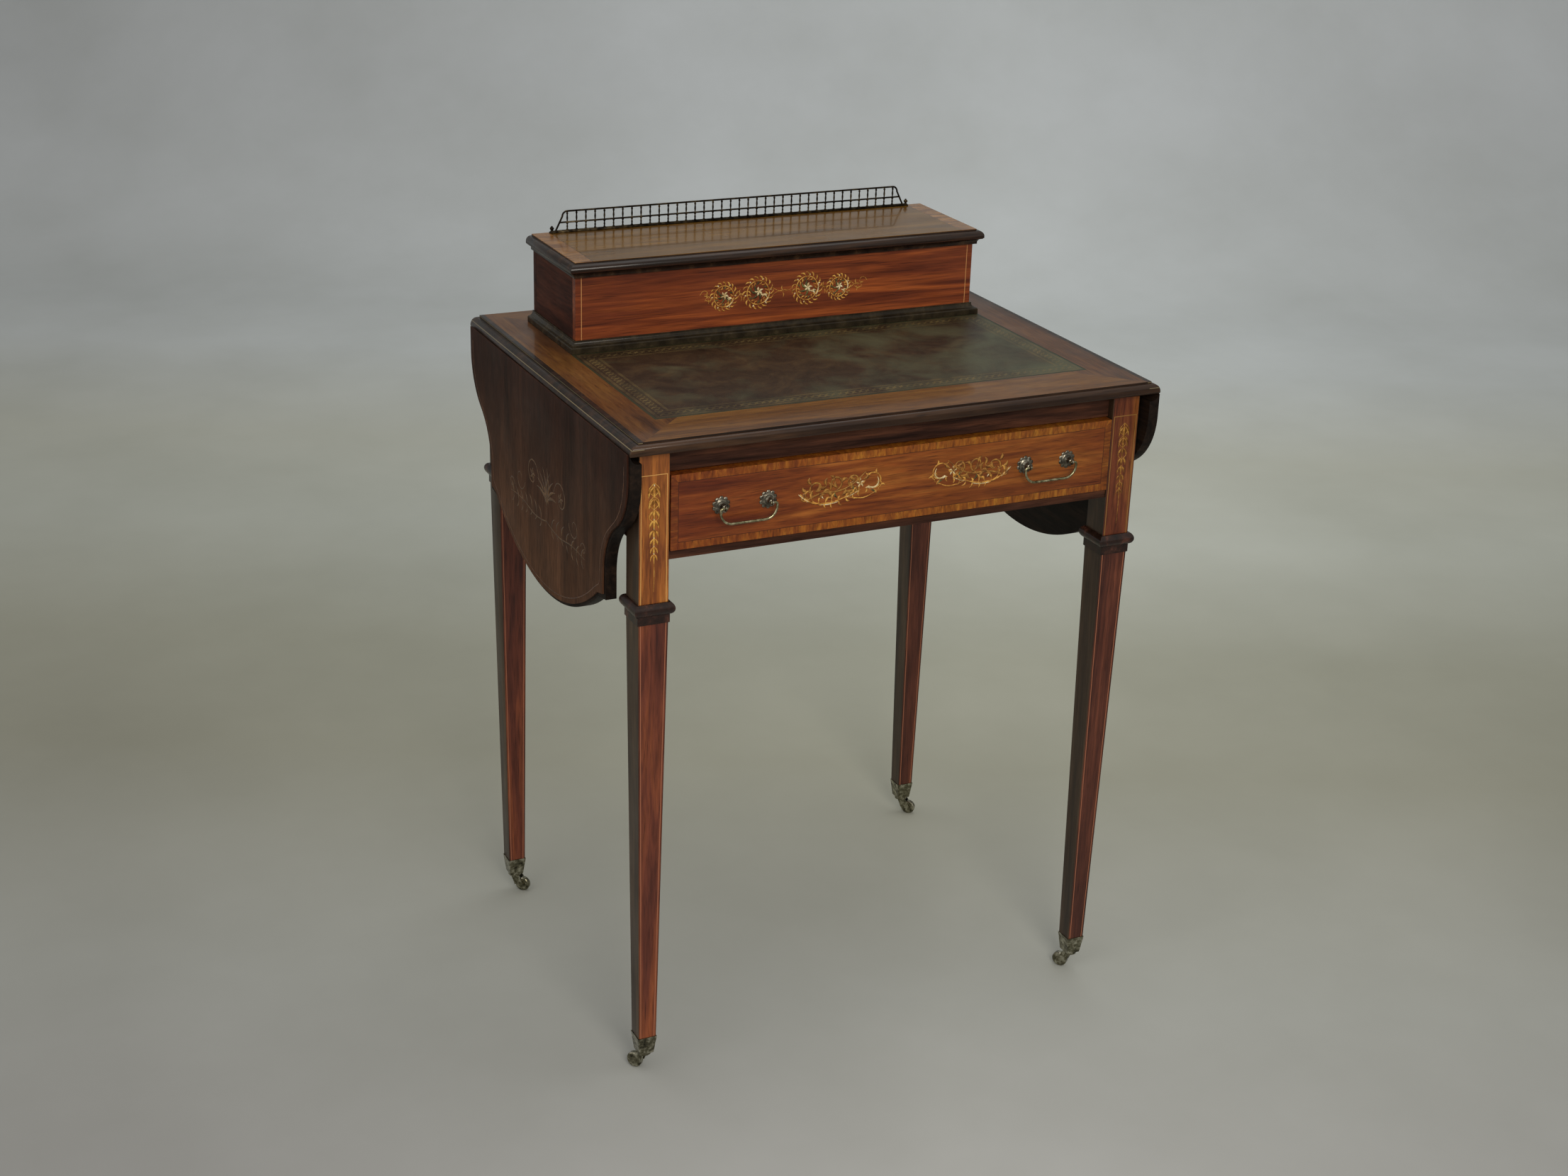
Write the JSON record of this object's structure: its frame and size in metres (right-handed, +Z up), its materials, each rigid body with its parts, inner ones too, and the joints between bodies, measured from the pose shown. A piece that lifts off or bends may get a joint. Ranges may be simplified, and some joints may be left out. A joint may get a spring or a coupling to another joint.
{
  "type": "bonheur du jour writing table",
  "caption": "Small drop-leaf writing table with a leather-lined top, a frieze drawer, a lidded stationery box with a pierced brass gallery, and square tapered legs on castors.",
  "frame": {"origin": "on the floor under the middle of the writing top", "axes": "+X to the sitter's right along the drawer front, +Y from the sitter to the stationery box, +Z up"},
  "size_m": [0.617, 0.495, 0.866],
  "materials": {
    "mahogany": "french polished, antique",
    "ebonised": "polished black",
    "inner_wood": "bare, worn smooth",
    "leather": "waxed, blind and gilt tooled",
    "brass": "old lacquered, darkened",
    "steel": "dull"
  },
  "bodies": {
    "table": {"leg_front_left": "mahogany", "leg_front_right": "mahogany", "leg_back_left": "mahogany", "leg_back_right": "mahogany", "side_rail_left": "mahogany", "side_rail_right": "mahogany", "back_rail": "mahogany", "top_rail": "mahogany", "drawer_rail": "mahogany", "drawer_runner_left": "inner_wood", "drawer_runner_right": "inner_wood", "kicker_left": "inner_wood", "kicker_right": "inner_wood", "drawer_stops": "inner_wood", "writing_top": "mahogany", "fly_rail_left": "mahogany", "fly_rail_right": "mahogany", "box_front": "mahogany", "box_back": "mahogany", "box_side_left": "mahogany", "box_side_right": "mahogany", "box_bottom": "inner_wood", "collar_front_left": "ebonised", "collar_front_right": "ebonised", "collar_back_left": "ebonised", "collar_back_right": "ebonised", "leather_skin": "leather", "table_hinge_plates": "brass", "fly_pins": "steel", "base_moulding": "ebonised", "lid_hinge_box_flaps": "brass", "castor_cups": "brass"},
    "leaf_left": {"leaf_left": "mahogany", "leaf_straps_left": "brass"},
    "leaf_right": {"leaf_right": "mahogany", "leaf_straps_right": "brass"},
    "fly_left": {"fly_bracket_left": "mahogany"},
    "fly_right": {"fly_bracket_right": "mahogany"},
    "drawer": {"drawer_front": "mahogany", "drawer_side_left": "inner_wood", "drawer_side_right": "inner_wood", "drawer_back": "inner_wood", "drawer_bottom": "inner_wood", "handle_posts": "brass", "handle_nuts": "brass"},
    "bail_left": {"bail_left": "brass"},
    "bail_right": {"bail_right": "brass"},
    "lid": {"lid_panel": "mahogany", "lid_frame": "ebonised", "lid_hinge_lid_flaps": "brass", "gallery": "brass"},
    "horn_front_left": {"castor_horn_front_left": "brass"},
    "wheel_front_left": {"castor_wheel_front_left": "brass"},
    "horn_front_right": {"castor_horn_front_right": "brass"},
    "wheel_front_right": {"castor_wheel_front_right": "brass"},
    "horn_back_left": {"castor_horn_back_left": "brass"},
    "wheel_back_left": {"castor_wheel_back_left": "brass"},
    "horn_back_right": {"castor_horn_back_right": "brass"},
    "wheel_back_right": {"castor_wheel_back_right": "brass"}
  },
  "joints": [
    {"name": "leaf_left_hinge", "type": "hinge", "parent": "table", "child": "leaf_left", "pos_m": [-0.297, 0, 0.7285], "axis": [0, 1, 0], "range_deg": [0, 90]},
    {"name": "leaf_right_hinge", "type": "hinge", "parent": "table", "child": "leaf_right", "pos_m": [0.297, 0, 0.7285], "axis": [0, -1, 0], "range_deg": [0, 90]},
    {"name": "fly_left_pivot", "type": "hinge", "parent": "table", "child": "fly_left", "pos_m": [-0.281, -0.051, 0.69], "axis": [0, 0, 1], "range_deg": [0, 2]},
    {"name": "fly_right_pivot", "type": "hinge", "parent": "table", "child": "fly_right", "pos_m": [0.281, -0.051, 0.69], "axis": [0, 0, -1], "range_deg": [0, 2]},
    {"name": "drawer_slide", "type": "slide", "parent": "table", "child": "drawer", "axis": [0, -1, 0], "range_m": [0, 0.3]},
    {"name": "bail_left_swing", "type": "hinge", "parent": "drawer", "child": "bail_left", "pos_m": [-0.177, -0.2444, 0.66], "axis": [-1, 0, 0], "range_deg": [-33, 213]},
    {"name": "bail_right_swing", "type": "hinge", "parent": "drawer", "child": "bail_right", "pos_m": [0.177, -0.2444, 0.66], "axis": [-1, 0, 0], "range_deg": [-33, 213]},
    {"name": "lid_hinge", "type": "hinge", "parent": "table", "child": "lid", "pos_m": [0, 0.20235, 0.8232], "axis": [-1, 0, 0], "range_deg": [0, 95]},
    {"name": "swivel_front_left", "type": "hinge", "parent": "table", "child": "horn_front_left", "pos_m": [-0.275, -0.2155, 0.022], "axis": [0, 0, 1], "continuous": true},
    {"name": "roll_front_left", "type": "hinge", "parent": "horn_front_left", "child": "wheel_front_left", "pos_m": [-0.28162, -0.20672, 0.009], "axis": [-0.7986, -0.6018, 0], "continuous": true},
    {"name": "swivel_front_right", "type": "hinge", "parent": "table", "child": "horn_front_right", "pos_m": [0.275, -0.2155, 0.022], "axis": [0, 0, 1], "continuous": true},
    {"name": "roll_front_right", "type": "hinge", "parent": "horn_front_right", "child": "wheel_front_right", "pos_m": [0.26838, -0.20672, 0.009], "axis": [-0.7986, -0.6018, 0], "continuous": true},
    {"name": "swivel_back_left", "type": "hinge", "parent": "table", "child": "horn_back_left", "pos_m": [-0.275, 0.2155, 0.022], "axis": [0, 0, 1], "continuous": true},
    {"name": "roll_back_left", "type": "hinge", "parent": "horn_back_left", "child": "wheel_back_left", "pos_m": [-0.26683, 0.20814, 0.009], "axis": [0.6691, 0.7431, 0], "continuous": true},
    {"name": "swivel_back_right", "type": "hinge", "parent": "table", "child": "horn_back_right", "pos_m": [0.275, 0.2155, 0.022], "axis": [0, 0, 1], "continuous": true},
    {"name": "roll_back_right", "type": "hinge", "parent": "horn_back_right", "child": "wheel_back_right", "pos_m": [0.28317, 0.20814, 0.009], "axis": [0.6691, 0.7431, 0], "continuous": true}
  ]
}
